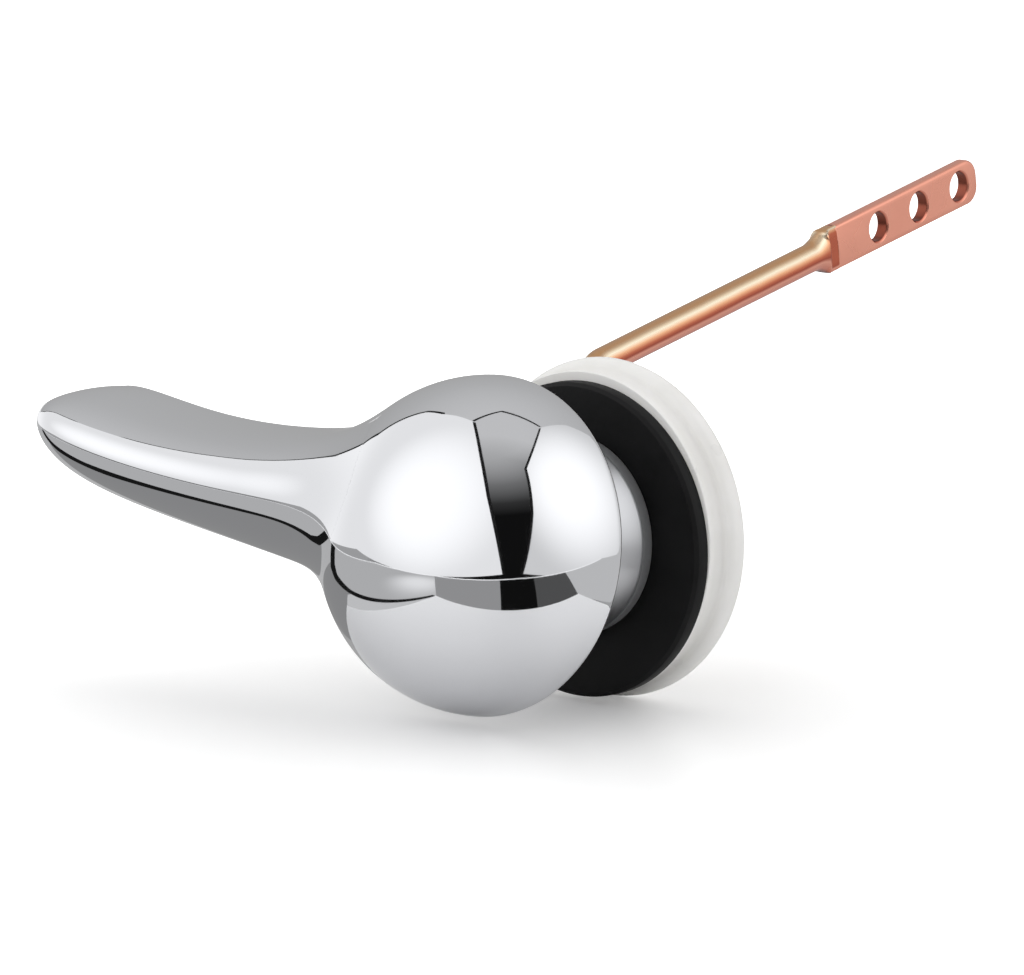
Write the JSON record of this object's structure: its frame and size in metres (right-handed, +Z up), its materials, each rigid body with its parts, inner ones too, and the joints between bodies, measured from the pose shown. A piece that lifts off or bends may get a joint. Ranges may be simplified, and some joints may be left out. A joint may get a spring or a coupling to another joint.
{
  "type": "cistern lever",
  "caption": "Side-mount flush lever for a toilet cistern: chromed ball handle on a threaded sleeve, rubber washer, flanged plastic nut and cranked lift arm with chain holes.",
  "frame": {"origin": "on the turning axis, at the rubber washer's tank face", "axes": "+Y along the turning axis into the tank, -X along the handle, +Z up"},
  "size_m": [0.0932, 0.1531, 0.0565],
  "materials": {
    "handle_chrome": "polished chrome plate on a zinc casting",
    "spindle_brass": "turned",
    "sleeve_chrome": "polished chrome plate",
    "spring_steel": "drawn wire",
    "washer_rubber": "moulded, matt",
    "nut_plastic": "moulded, half gloss",
    "thrust_nylon": "moulded",
    "clip_steel": "stamped",
    "arm_copper": "bright drawn, copper coloured",
    "screw_steel": "machined"
  },
  "bodies": {
    "mount": {"threaded_sleeve": "sleeve_chrome", "rubber_washer": "washer_rubber", "return_spring": "spring_steel", "thrust_washer": "thrust_nylon"},
    "lever": {"handle": "handle_chrome", "spindle": "spindle_brass", "lift_arm": "arm_copper", "arm_grub_screw": "screw_steel", "retaining_clip": "clip_steel"},
    "nut": {"tank_nut": "nut_plastic"}
  },
  "joints": [
    {"name": "handle_turn", "type": "hinge", "parent": "mount", "child": "lever", "pos_m": [0, 0, 0], "axis": [0, -1, 0], "range_deg": [0, 35], "stiffness_Nm_per_rad": 0.06, "springref_deg": -45.84, "deforming": ["return_spring"]},
    {"name": "nut_travel", "type": "slide", "parent": "mount", "child": "nut", "axis": [0, 1, 0], "range_m": [0, 0.008]}
  ]
}
